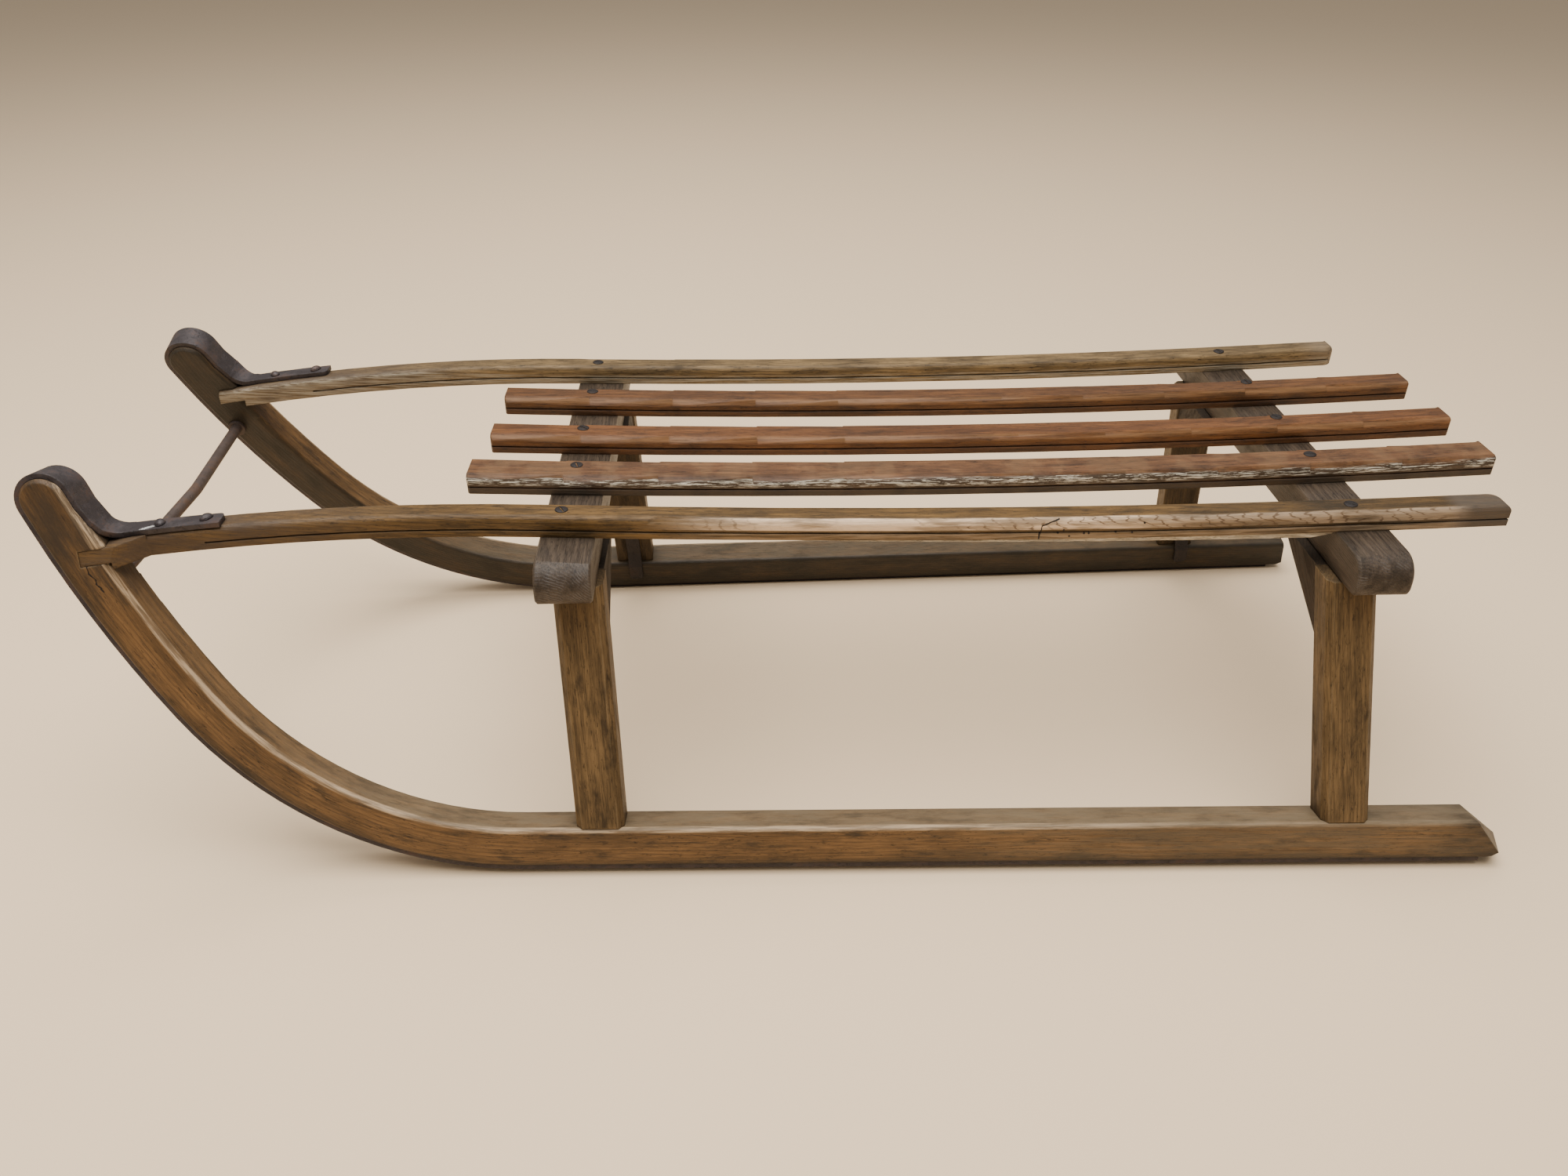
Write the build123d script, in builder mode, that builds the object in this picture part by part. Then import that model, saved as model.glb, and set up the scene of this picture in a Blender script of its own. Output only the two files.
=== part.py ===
from build123d import *
import os
from math import sin, cos, tan, radians

# Wooden slatted sled with bent runners. Millimetres, Z up, horns towards -X.
# The origin lies on the ground, midway between horn tips and tails.

# Side frames: each runner with its legs stands in one plane that leans inward.
half_track = 229.6
side_lean = 13.1
runner_toe = 1.36

# Runner, bent from one squared stave.
runner_width = 31.0
runner_depth = 32.5
runner_round = 4.0
runner_break = 2.3
tail_reach = 543.0
tail_slope = 21.0
tail_lean = 4.0
tail_skew = 13.0
tail_heel = 9.0
bend_start = -222.0
bend_radius = 296.0
bend_angle = 56.0
sweep_radius = 796.0
sweep_angle = 12.0
horn_length = 13.0
lip_rise = 17.3
lip_height = 27.0
lip_angle = 2.6

# Iron flat bar that shoes the runner, wraps the horn and lands on the rail.
iron_width = 24.0
iron_thick = 4.0
iron_short = 13.0
strap_width = 14.5
strap_length = 67.0
strap_out = 3.0
strap_bend = 13.0
strap_corner = 4.0
strap_swell = 0.4
strap_lap = 2.0

# Iron strip nailed down the inner side of each foot.
foot_strip_width = 13.5
foot_strip_thick = 2.5
foot_strip_rise = 55.0
foot_strip_step = 12.0
foot_strip_tuck = 2.5
foot_strip_drop = 19.5
front_strip_set = 0.0
rear_strip_set = 6.0
foot_strip_corner = 4.0

# Seat: all five slats dip in one long curve between the bolsters.
seat_height = 263.5
seat_sag = 4.5
slat_thick = 15.0
slat_round = 5.5
slat_end_break = 1.5
slat_short = 4.0
seat_clear = 0.05
quirk_height = 5.0
quirk_width = 1.2
quirk_depth = 1.6

# Outer slats, the rails, run on forward and down into the horns.
rail_spread = 142.9
rail_toe = 1.07
rail_width = 22.5
rail_thick = 16.5
rail_short = 34.0
rail_round = 5.0
rail_end_round = 9.5
rail_fall = 14.045
tongue_cut = 5.5
tongue_depth = 17.0
tongue_shoulder = 5.0
tongue_gap = 0.2
head_flare = 25.0
head_inset = 0.4

# Bolsters, the two cross beams under the seat.
bolster_width = 40.0
bolster_height = 29.0
bolster_nose = 18.0
bolster_heel = 7.0
bolster_chamfer = 1.5
front_half_length = 198.0
rear_half_length = 207.0

# Legs and the knees that brace them. The feet are placed from the bend and
# from the tail; each bolster sits a little forward of its feet.
front_foot = 61.5
rear_foot = 124.0
front_rake = 6.8
rear_rake = 24.5
front_set = 11.5
rear_set = 13.5
leg_width = 37.0
leg_depth = 25.0
leg_inset = 1.0
leg_chamfer = 4.5
leg_inner_chamfer = 1.5
knee_run = 60.0
knee_drop = 54.0

# Inner slats: widths, places across the sled and reach past the front bolster.
left_slat_width = 33.0
middle_slat_width = 28.0
right_slat_width = 27.0
left_slat_place = -70.0
middle_slat_place = -2.0
right_slat_place = 72.0
left_slat_nose = 82.0
other_slat_nose = 75.5

# Rope bar between the horns, let in below and behind the lip.
bar_radius = 4.6
bar_socket = 18.0
bar_fit = 0.2
bar_drop = 60.5
bar_in = 22.3
bar_end_gap = 1.0
bar_kink = 13.0
bar_bend = 30.0
collar_radius = 7.5
collar_thick = 3.0

# One row per bolster with its two legs: where the feet stand, where the
# bolster lies, how far the legs rake forward from foot to head, and how far
# behind the foot's middle its iron strip is nailed.
BOLSTERS = [
    dict(name="front", foot=bend_start + front_foot, set=front_set, half_length=front_half_length, rake=-front_rake,
         strip=front_strip_set),
    dict(name="rear", foot=tail_reach - rear_foot, set=rear_set, half_length=rear_half_length, rake=-rear_rake,
         strip=rear_strip_set),
]

# One row per runner: how far the tail's top is sawn back, and how far its
# inner lower corner stands out past the outer one.
TAILS = [
    dict(side="left", top_back=tail_slope, skew=tail_skew),
    dict(side="right", top_back=tail_lean, skew=tail_lean / 4),
]

# One row per inner slat: place across the sled, width, reach past the front bolster.
SLATS = [
    dict(name="left", across=left_slat_place, width=left_slat_width, nose=left_slat_nose),
    dict(name="middle", across=middle_slat_place, width=middle_slat_width, nose=other_slat_nose),
    dict(name="right", across=right_slat_place, width=right_slat_width, nose=other_slat_nose),
]

os.makedirs("parts", exist_ok=True)

# Planes of the left side. The right side is mirrored from it.
ct, st = cos(radians(runner_toe)), sin(radians(runner_toe))
cl, sl = cos(radians(side_lean)), sin(radians(side_lean))
side_out = Vector(-st * cl, -ct * cl, sl)
side_along = Vector(ct, -st, 0)
sole_edge = (runner_width + iron_width) / 2 * sl
side_face = Plane(origin=(0, -half_track, sole_edge), x_dir=side_along, z_dir=side_out)
side_mid = side_face.offset(-runner_width / 2)
cr, sr = cos(radians(rail_toe)), sin(radians(rail_toe))
rail_mid = Plane(origin=(0, -rail_spread, 0), x_dir=(cr, -sr, 0), z_dir=(-sr, -cr, 0))

# Levels on the runner, measured up the leaning plane.
runner_top = iron_thick + runner_depth
bolster_low = seat_height - bolster_height

# Seat curve: underside of the slats as a height over the sled's length.
front_at, rear_at = [row["foot"] - row["set"] for row in BOLSTERS]
seat_mid = (front_at + rear_at) / 2
seat_radius = ((rear_at - front_at) / 2) ** 2 / (2 * seat_sag)
slat_rear = tail_reach - slat_short
rail_rear = tail_reach - rail_short
rail_break = front_at - bolster_width / 2


def seat(x):
    return seat_height - seat_sag + (x - seat_mid) ** 2 / (2 * seat_radius)


def rail_under(x):
    if x >= rail_break:
        return seat(x)
    run = x - rail_break
    slope = (rail_break - seat_mid) / seat_radius
    return seat(rail_break) + slope * run - run**2 * rail_bow / 2


def rail_slope(x):
    if x >= rail_break:
        return (x - seat_mid) / seat_radius
    return (rail_break - seat_mid) / seat_radius - (x - rail_break) * rail_bow


def band(height, x0, x1, low, high):
    # A closed strip between two lifts above a height function.
    bottom = [(x, height(x) + low) for x in (x0, (x0 + x1) / 2, x1)]
    top = [(x, height(x) + high) for x in (x0, (x0 + x1) / 2, x1)]
    ThreePointArc(*bottom)
    Line(bottom[2], top[2])
    ThreePointArc(*top)
    Line(top[0], bottom[0])


# Runner outline, walked from the flat sole round the horn and back.
def turn(point, heading, radius, angle):
    a0, a1 = radians(heading), radians(heading - angle)
    cx = point[0] + radius * sin(a0)
    cy = point[1] - radius * cos(a0)
    return (cx - radius * sin(a1), cy + radius * cos(a1)), heading - angle


sole_end = (bend_start, iron_thick)
bend_end, bend_head = turn(sole_end, 180, bend_radius, bend_angle)
sweep_end, horn_head = turn(bend_end, bend_head, sweep_radius, sweep_angle)
horn_dir = (cos(radians(horn_head)), sin(radians(horn_head)))
horn_back = (horn_dir[1], -horn_dir[0])
horn_end = (sweep_end[0] + horn_dir[0] * horn_length, sweep_end[1] + horn_dir[1] * horn_length)


def on_horn(point, reach, back):
    return (
        point[0] + horn_dir[0] * reach + horn_back[0] * back,
        point[1] + horn_dir[1] * reach + horn_back[1] * back,
    )


lip_top = on_horn(sweep_end, 0, runner_depth)
lip_end = (lip_top[0] + lip_rise, lip_top[1] - lip_height)
sweep_hub = on_horn(sweep_end, 0, sweep_radius)
lip_head = radians(horn_head + lip_angle)
back_radius = sweep_radius - runner_depth
lip_root = (sweep_hub[0] - back_radius * sin(lip_head), sweep_hub[1] + back_radius * cos(lip_head))

# The rail's bow: forward of the bolster the rail falls, until its underside lies
# a set height below the end of the horn's lip.
lip_low = side_mid.from_local_coords(Vector(lip_end[0], lip_end[1], 0)).Z
fall_run = lip_end[0] - rail_break
fall_slope = (rail_break - seat_mid) / seat_radius
rail_bow = 2 * (seat(rail_break) + fall_slope * fall_run - lip_low + rail_fall) / fall_run**2

# Where the rail's tongue stops inside the horn, as a length along the rail.
tongue_tip = lip_end[0] - tongue_depth
tongue_root = lip_end[0] + tongue_shoulder

# The rope bar's line: from its kink on the mid plane through the runner's inner face.
bar_spot = on_horn(lip_top, -bar_drop, -bar_in)
bar_at = side_mid.offset(-runner_width / 2).from_local_coords(Vector(bar_spot[0], bar_spot[1], 0))
bar_mid = Vector(bar_at.X + bar_kink, 0, bar_at.Z + bar_kink / 2)
rod_dir = (bar_at - bar_mid).normalized()

# Stave: bent up into the horn, with a slot across the horn's back for the
# rail's tongue. Its deck is rounded, the arrises beside the iron are broken.
blank_reach = tail_reach + runner_depth
with BuildPart() as stave:
    with BuildSketch(side_mid):
        with BuildLine():
            Line((blank_reach, iron_thick), sole_end)
            a = JernArc(sole_end, (-1, 0), bend_radius, -bend_angle)
            b = JernArc(a @ 1, a % 1, sweep_radius, -sweep_angle)
            c = Line(b @ 1, horn_end)
            d = JernArc(c @ 1, c % 1, runner_depth / 2, -180)
            Line(d @ 1, lip_top)
            Line(lip_top, lip_end)
            Line(lip_end, lip_root)
            f = JernArc(lip_root, (-cos(lip_head), -sin(lip_head)), back_radius, sweep_angle - lip_angle)
            g = JernArc(f @ 1, f % 1, bend_radius - runner_depth, bend_angle)
            h = Line(g @ 1, (blank_reach, runner_top))
            Line(h @ 1, (blank_reach, iron_thick))
        make_face()
    extrude(amount=runner_width / 2, both=True)
    with BuildSketch(rail_mid):
        with BuildLine():
            band(rail_under, tongue_tip, tongue_root + lip_height, tongue_cut - tongue_gap, rail_thick + tongue_gap)
        make_face()
    extrude(amount=runner_width * 1.5, both=True, mode=Mode.SUBTRACT)
    sides = [e for f in faces().filter_by(side_mid) for e in f.edges()]
    bends = [e for e in sides if e.geom_type == GeomType.CIRCLE]
    lines = [e for e in sides if e.geom_type == GeomType.LINE]
    inner_radii = (back_radius, bend_radius - runner_depth)
    outer_radii = (sweep_radius, bend_radius, runner_depth / 2)
    deck = [e for e in bends if any(abs(e.radius - r) < 0.01 for r in inner_radii)]
    deck += [e for e in lines if abs(side_mid.to_local_coords(e.center()).Y - runner_top) < 0.01]
    shod = [e for e in bends if any(abs(e.radius - r) < 0.01 for r in outer_radii)]
    shod += [e for e in lines if abs(side_mid.to_local_coords(e.center()).Y - iron_thick) < 0.01]
    shod += [e for e in lines if side_mid.to_local_coords(e.center()).Y > lip_end[1]]
    chamfer(shod, runner_break)
    fillet(deck, runner_round)
    with BuildSketch(Plane(origin=bar_at - rod_dir * runner_width / 2, z_dir=rod_dir)):
        Circle(bar_radius + bar_fit)
    extrude(amount=runner_width / 2 + bar_socket, mode=Mode.SUBTRACT)


def tail_cuts(row):
    # The saw cuts behind the tail: the slant, the outer corner and the heel.
    inner = runner_width
    corners = {
        "top": (tail_reach - row["top_back"], runner_top, 0),
        "top_in": (tail_reach - row["top_back"], runner_top, inner),
        "low": (tail_reach, tail_heel, 0),
        "low_in": (tail_reach + row["skew"], tail_heel, inner),
        "heel": (tail_reach - tail_heel, iron_thick, 0),
    }
    spots = {key: side_face.from_local_coords(Vector(s, t, -deep)) for key, (s, t, deep) in corners.items()}
    cuts = []
    for p, q, r in [("top", "top_in", "low_in"), ("top", "low_in", "low"), ("low", "low_in", "heel")]:
        normal = (spots[q] - spots[p]).cross(spots[r] - spots[p])
        if normal.dot(side_along) < 0:
            normal = -normal
        cuts.append(Plane(origin=spots[p], z_dir=normal))
    return cuts


# The two runners differ only in how their tails are sawn.
with BuildPart() as runner_left:
    add(stave.part)
    for cut in tail_cuts(TAILS[0]):
        split(bisect_by=cut, keep=Keep.BOTTOM)

with BuildPart() as runner_right:
    add(stave.part)
    for cut in tail_cuts(TAILS[1]):
        split(bisect_by=cut, keep=Keep.BOTTOM)

def rail_outline():
    back = [(x, rail_under(x)) for x in (rail_break, (rail_break + rail_rear) / 2, rail_rear)]
    over = [(x, z + rail_thick) for x, z in back]
    fore = [(x, rail_under(x)) for x in (tongue_root, (tongue_root + rail_break) / 2, rail_break)]
    nose = [(x, rail_under(x) + rail_thick) for x in (tongue_tip, (tongue_tip + rail_break) / 2, rail_break)]
    step = [(x, rail_under(x) + tongue_cut) for x in (tongue_tip, (tongue_tip + tongue_root) / 2, tongue_root)]
    ThreePointArc(*back)
    Line(back[2], over[2])
    ThreePointArc(*over)
    ThreePointArc(*nose)
    Line(nose[0], step[0])
    ThreePointArc(*step)
    Line(step[2], fore[0])
    ThreePointArc(*fore)


# The rail's head spreads outward until it lies flush with the horn's outer face.
mouth = side_face.from_local_coords(Vector(lip_end[0], lip_end[1], 0))
mouth_y = mouth.Y - rail_thick * tan(radians(side_lean))
head_end = rail_mid.from_local_coords(Vector(mouth.X + head_flare, 0, rail_width / 2))
head_mid = rail_mid.from_local_coords(Vector(mouth.X, 0, 0))
with BuildPart() as rail_head:
    with BuildSketch(rail_mid):
        with BuildLine():
            rail_outline()
        make_face()
    extrude(amount=runner_width, both=True)
    with BuildSketch():
        with BuildLine():
            Polyline(
                (mouth.X - runner_depth, head_mid.Y),
                (mouth.X - runner_depth, mouth_y),
                (mouth.X, mouth_y),
                (head_end.X, head_end.Y),
                (head_end.X, head_mid.Y),
                (mouth.X - runner_depth, head_mid.Y),
            )
        make_face()
    extrude(amount=seat_height + lip_height, mode=Mode.INTERSECT)
    split(bisect_by=side_face.offset(-head_inset), keep=Keep.BOTTOM)

# Rail: bowed slat whose front end drops to a tongue let into the horn. A quirk
# runs along both sides over the narrow lower lip.
quirk_start = lip_end[0] + strap_length
with BuildPart() as rail_left:
    with BuildSketch(rail_mid):
        with BuildLine():
            rail_outline()
        make_face()
    extrude(amount=rail_width / 2, both=True)
    fillet(edges().filter_by(Axis.Z).group_by(Axis.X)[-1], rail_end_round)
    upper = faces().filter_by(lambda f: f.normal_at().Z > 0.9).sort_by(Axis.X)[-2:]
    fillet([e for f in upper for e in f.edges() if abs(e.tangent_at(0.5).Z) < 0.3
            and abs(e.tangent_at(0.5).X) > 0.9], rail_round)
    for side in (-1, 1):
        with BuildSketch(rail_mid.offset(side * rail_width / 2)):
            with BuildLine():
                band(rail_under, quirk_start, rail_break, quirk_height, quirk_height + quirk_width)
            make_face()
            with BuildLine():
                band(rail_under, rail_break, rail_rear + quirk_depth, quirk_height, quirk_height + quirk_width)
            make_face()
        extrude(amount=-side * quirk_depth, mode=Mode.SUBTRACT)
    add(rail_head.part)

# The bar's run from the horn's back to the rail: it follows the lip, bends
# back the other way, and turns from the leaning frame to the level rail.
lip_start = side_mid.from_local_coords(Vector(lip_top[0], lip_top[1], 0))
lip_way = (side_mid.from_local_coords(Vector(lip_end[0], lip_end[1], 0)) - lip_start).normalized()
lip_out = side_out.cross(lip_way).normalized()
if lip_out.X < 0:
    lip_out = -lip_out
lip_reach = (lip_start.Z - rail_under(lip_end[0]) - rail_thick) / abs(lip_way.Z)
leave = lip_start + lip_way * (lip_reach - strap_bend)
land_x = (lip_start + lip_way * lip_reach).X + strap_bend
strap_plane = rail_mid.offset(strap_out)
land = strap_plane.from_local_coords(Vector(land_x, rail_under(land_x) + rail_thick, 0))
rail_way = (rail_mid.x_dir + Vector(0, 0, rail_slope(land_x))).normalized()
rail_out = rail_mid.z_dir.cross(rail_way).normalized()
if rail_out.Z < 0:
    rail_out = -rail_out


def strap_stations():
    # Cross sections of the twisted bend, from the lip to the rail. It is forged
    # a little stouter than the bar and laps both straight lengths.
    p0, p1 = leave + lip_out * iron_thick / 2, land + rail_out * iron_thick / 2
    pull = (p1 - p0).length * 1.1
    pull_in = Vector(lip_way.X, 0, lip_way.Z) * pull
    pull_out = Vector(rail_way.X, 0, rail_way.Z) * pull
    steps = 6
    stations = []
    for n in range(steps + 1):
        u = n / steps
        spot = p0 * (2 * u**3 - 3 * u**2 + 1) + p1 * (3 * u**2 - 2 * u**3)
        spot += pull_in * (u**3 - 2 * u**2 + u) + pull_out * (u**3 - u**2)
        way = (p1 - p0) * (6 * u - 6 * u**2) + pull_in * (3 * u**2 - 4 * u + 1) + pull_out * (3 * u**2 - 2 * u)
        way = lip_way if n == 0 else rail_way if n == steps else way.normalized()
        across = side_out * (1 - u) + rail_mid.z_dir * u
        across = (across - way * across.dot(way)).normalized()
        lap = -strap_lap if n == 0 else strap_lap if n == steps else 0
        station = Plane(origin=spot + way * lap, x_dir=across, z_dir=way)
        width = iron_width * (1 - u) + strap_width * u + strap_swell
        stations.append(station * Rectangle(width, iron_thick + strap_swell / 2))
    return stations


strap_turn = loft(strap_stations(), ruled=True)

# Iron: one flat bar under the sole, up the bend, round the horn's tip and
# down its back, then forged flat onto the rail.
iron_end = (tail_reach - iron_short, 0)
leave_2d = side_mid.to_local_coords(leave)
over_lip = side_mid.to_local_coords(leave + lip_out * iron_thick)
lip_turn = side_mid.to_local_coords(lip_start + lip_out * iron_thick)
with BuildPart() as iron_left:
    with BuildSketch(side_mid):
        with BuildLine():
            aa = Line(iron_end, (bend_start, 0))
            bb = JernArc(aa @ 1, (-1, 0), bend_radius + iron_thick, -bend_angle)
            cc = JernArc(bb @ 1, bb % 1, sweep_radius + iron_thick, -sweep_angle)
            dd = Line(cc @ 1, on_horn(horn_end, 0, -iron_thick))
            ee = JernArc(dd @ 1, dd % 1, runner_depth / 2 + iron_thick, -180)
            Polyline(ee @ 1, (lip_turn.X, lip_turn.Y), (over_lip.X, over_lip.Y), (leave_2d.X, leave_2d.Y), lip_top)
            gg = Line(lip_top, on_horn(horn_end, 0, runner_depth))
            hh = JernArc(gg @ 1, horn_dir, runner_depth / 2, 180)
            ii = Line(hh @ 1, sweep_end)
            jj = JernArc(ii @ 1, (-horn_dir[0], -horn_dir[1]), sweep_radius, sweep_angle)
            kk = JernArc(jj @ 1, jj % 1, bend_radius, bend_angle)
            Polyline(kk @ 1, (iron_end[0], iron_thick), iron_end)
        make_face()
    extrude(amount=iron_width / 2, both=True)
    add(strap_turn)
    with BuildSketch(strap_plane):
        with BuildLine():
            band(rail_under, land_x, land_x + strap_length, rail_thick, rail_thick + iron_thick)
        make_face()
    extrude(amount=strap_width / 2, both=True)
    fillet(edges().filter_by(Axis.Z).group_by(Axis.X)[-1], strap_corner)
    add(rail_left.part, mode=Mode.SUBTRACT)
    add(stave.part, mode=Mode.SUBTRACT)

# Trestles: a bolster on two leaning legs, each braced by a knee and held down
# by an iron strip on the inner side of its foot.
bolsters = []
sided = []
leg_inner = leg_inset + leg_depth
rise = (bolster_low - sole_edge) / cl - runner_top
knee_width = leg_width - 2 * leg_inner_chamfer
for row in BOLSTERS:
    at = row["foot"] - row["set"]
    slope = (at - seat_mid) / seat_radius
    spare = bolster_width / 2 * abs(slope)
    seat_plane = Plane(origin=(at, 0, seat(at) - seat_clear), z_dir=(-slope, 0, 1))
    with BuildPart() as bolster:
        with BuildSketch(Plane.YZ.offset(at)):
            with Locations((0, bolster_low + (bolster_height + spare) / 2)):
                Rectangle(2 * row["half_length"], bolster_height + spare)
            fillet(vertices().group_by(Axis.Y)[-1], bolster_nose)
            fillet(vertices().group_by(Axis.Y)[0], bolster_heel)
        extrude(amount=bolster_width / 2, both=True)
        ends = [e for f in faces().filter_by(Axis.X) for e in f.edges() if abs(e.center().Y) > row["half_length"] / 2]
        chamfer(ends, bolster_chamfer)
        split(bisect_by=seat_plane, keep=Keep.BOTTOM)
    bolster.part.label = "bolster_" + row["name"]
    bolsters.append(bolster.part)

    # The leg overshoots the bolster's underside and is sawn off level with it.
    foot, rake, over = row["foot"], row["rake"], 1.1
    with BuildPart() as leg:
        with BuildSketch(side_face.offset(-leg_inset)):
            with BuildLine():
                Polyline(
                    (foot - leg_width / 2, runner_top),
                    (foot + leg_width / 2, runner_top),
                    (foot + rake * over + leg_width / 2, runner_top + rise * over),
                    (foot + rake * over - leg_width / 2, runner_top + rise * over),
                    (foot - leg_width / 2, runner_top),
                )
            make_face()
        extrude(amount=-leg_depth)
        arrises = edges().filter_by(lambda e: e.length > rise)
        middle = -leg_inset - leg_depth / 2
        outer = [e for e in arrises if side_face.to_local_coords(e.center()).Z > middle]
        inner = [e for e in arrises if side_face.to_local_coords(e.center()).Z < middle]
        chamfer(outer, leg_chamfer)
        inner = [e for e in edges().filter_by(lambda e: e.length > rise)
                 if side_face.to_local_coords(e.center()).Z < -leg_inner + leg_inner_chamfer]
        chamfer(inner, leg_inner_chamfer)
        split(bisect_by=Plane.XY.offset(bolster_low), keep=Keep.BOTTOM)
    leg.part.label = "leg_" + row["name"]

    # Square to the leg: inward depth and the way up the leg.
    leg_way = (side_face.from_local_coords(Vector(rake, rise, 0)) - side_face.origin).normalized()
    leg_normal = leg_way.cross(side_out).normalized()
    knee_up = (bolster_low - sole_edge + leg_inner * sl) / cl
    knee_spot = Vector(foot + rake * (knee_up - runner_top) / rise, knee_up, -leg_inner)
    knee_plane = Plane(origin=side_face.from_local_coords(knee_spot), x_dir=-side_out, z_dir=leg_normal)
    knee_reach = Vector(knee_run * cl, knee_run * sl + knee_drop / cl)
    with BuildPart() as knee:
        with BuildSketch(knee_plane):
            with BuildLine():
                low = (0, -knee_drop / cl)
                tip = (knee_reach.X * over, low[1] + knee_reach.Y * over)
                Polyline(low, tip, (0, tip[1]), low)
            make_face()
        extrude(amount=knee_width / 2, both=True)
        split(bisect_by=Plane.XY.offset(bolster_low), keep=Keep.BOTTOM)
    knee.part.label = "knee_" + row["name"]

    strip_spot = side_face.from_local_coords(Vector(foot + row["strip"], runner_top, 0))
    with BuildPart() as strip:
        with BuildSketch(Plane(origin=strip_spot, x_dir=-side_out, z_dir=leg_normal)):
            with BuildLine():
                Polyline(
                    (leg_inner, foot_strip_rise),
                    (leg_inner, foot_strip_step),
                    (runner_width, -foot_strip_tuck),
                    (runner_width, -foot_strip_drop),
                    (runner_width + foot_strip_thick, -foot_strip_drop),
                    (runner_width + foot_strip_thick, -foot_strip_tuck),
                    (leg_inner + foot_strip_thick, foot_strip_step),
                    (leg_inner + foot_strip_thick, foot_strip_rise),
                    (leg_inner, foot_strip_rise),
                )
            make_face()
        extrude(amount=foot_strip_width / 2, both=True)
        fillet(edges().filter_by(lambda e: abs(e.length - foot_strip_thick) < 0.001), foot_strip_corner)
    strip.part.label = "foot_strip_" + row["name"]
    sided += [leg.part, knee.part, strip.part]

# Inner slats: rounded upper arrises over a quirk and a narrower lower lip.
slats = []
for row in SLATS:
    slat_front = front_at - row["nose"]
    with BuildPart() as slat:
        with BuildSketch(Plane.XZ.offset(-row["across"])):
            with BuildLine():
                band(seat, slat_front, slat_rear, 0, slat_thick)
            make_face()
        extrude(amount=row["width"] / 2, both=True)
        chamfer(edges().filter_by(Axis.Z), slat_end_break)
        long_edges = edges().filter_by(lambda e: e.length > (slat_rear - slat_front) / 2)
        fillet(long_edges.group_by(Axis.Z)[-1], slat_round)
        for side in (-1, 1):
            with BuildSketch(Plane.XZ.offset(-row["across"] - side * row["width"] / 2)):
                with BuildLine():
                    band(seat, slat_front - quirk_depth, slat_rear + quirk_depth, quirk_height, quirk_height + quirk_width)
                make_face()
            extrude(amount=side * quirk_depth, mode=Mode.SUBTRACT)
    slat.part.label = "slat_" + row["name"]
    slats.append(slat.part)

# Rope bar: iron rod with one slight bend, let into both horns, with a collar
# against each horn.
bar_end = bar_at + rod_dir * (bar_socket - bar_end_gap)
with BuildPart() as rope_bar:
    with BuildLine() as rod_line:
        FilletPolyline(bar_end, bar_mid, Vector(bar_end.X, -bar_end.Y, bar_end.Z), radius=bar_bend)
    with BuildSketch(Plane(origin=bar_end, z_dir=-rod_dir)):
        Circle(bar_radius)
    sweep()
    for side in (-1, 1):
        spot = Vector(bar_at.X, -side * bar_at.Y, bar_at.Z)
        inward = Vector(-side_out.X, side_out.Y * side, -side_out.Z)
        with BuildSketch(Plane(origin=spot, z_dir=inward)):
            Circle(collar_radius)
        extrude(amount=collar_thick)

# Names and files. Left is the -Y side; the right side mirrors it.
rope_bar.part.label = "rope_bar"
rail_left.part.label = "rail"
iron_left.part.label = "iron"
runner_left.part.label = "runner_left"


def mirrored(shape, label):
    other = shape.mirror(Plane.XZ)
    other.label = label
    return other


pieces = [rope_bar.part, runner_left.part, mirrored(runner_right.part, "runner_right")] + bolsters + slats
for shape in [rail_left.part, iron_left.part] + sided:
    stem = shape.label
    shape.label = stem + "_left"
    pieces += [shape, mirrored(shape, stem + "_right")]

for piece in pieces:
    export_step(piece, "parts/" + piece.label + ".step")
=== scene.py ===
import bpy
from math import sin, cos, radians
from mathutils import Vector, Matrix


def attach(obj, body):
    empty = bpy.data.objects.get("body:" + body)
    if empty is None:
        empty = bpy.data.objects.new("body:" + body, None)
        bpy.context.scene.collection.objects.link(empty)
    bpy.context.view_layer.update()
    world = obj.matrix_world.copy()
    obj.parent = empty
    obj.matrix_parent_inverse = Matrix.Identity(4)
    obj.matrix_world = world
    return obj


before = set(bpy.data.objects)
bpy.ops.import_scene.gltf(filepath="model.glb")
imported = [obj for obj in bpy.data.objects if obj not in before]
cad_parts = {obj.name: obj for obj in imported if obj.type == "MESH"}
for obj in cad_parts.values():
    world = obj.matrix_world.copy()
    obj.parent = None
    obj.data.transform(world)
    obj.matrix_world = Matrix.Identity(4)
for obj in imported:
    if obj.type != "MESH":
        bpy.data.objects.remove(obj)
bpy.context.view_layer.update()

# Bent runners.
# Each is one ash stave, steamed and bent up into a horn, and oiled. The grain
# follows the bend; the deck is rubbed pale, with a painted highlight along its
# outer round; the low edges are grimed dark and the inner face is painted darker
# as shade.
runner_toe, side_lean = radians(1.36), radians(13.1)
side_along = Vector((cos(runner_toe), -sin(runner_toe), 0))
side_out = Vector((-sin(runner_toe) * cos(side_lean), -cos(runner_toe) * cos(side_lean), sin(side_lean)))
side_up = side_out.cross(side_along)
side_origin = Vector((0, -229.6, 6.233))
bend_start, bend_radius, bend_angle = -222.0, 296.0, radians(56)
sweep_radius = 796.0
iron_thick, runner_depth, runner_width = 4.0, 32.5, 31.0
deck = iron_thick + runner_depth


def add_node(tree, kind, wires=None, **settings):
    spot = tree.nodes.new("ShaderNode" + kind)
    for key, value in settings.items():
        setattr(spot, key, value)
    for socket, value in (wires or {}).items():
        if isinstance(value, bpy.types.NodeSocket):
            tree.links.new(value, spot.inputs[socket])
        else:
            spot.inputs[socket].default_value = value
    return spot


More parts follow.
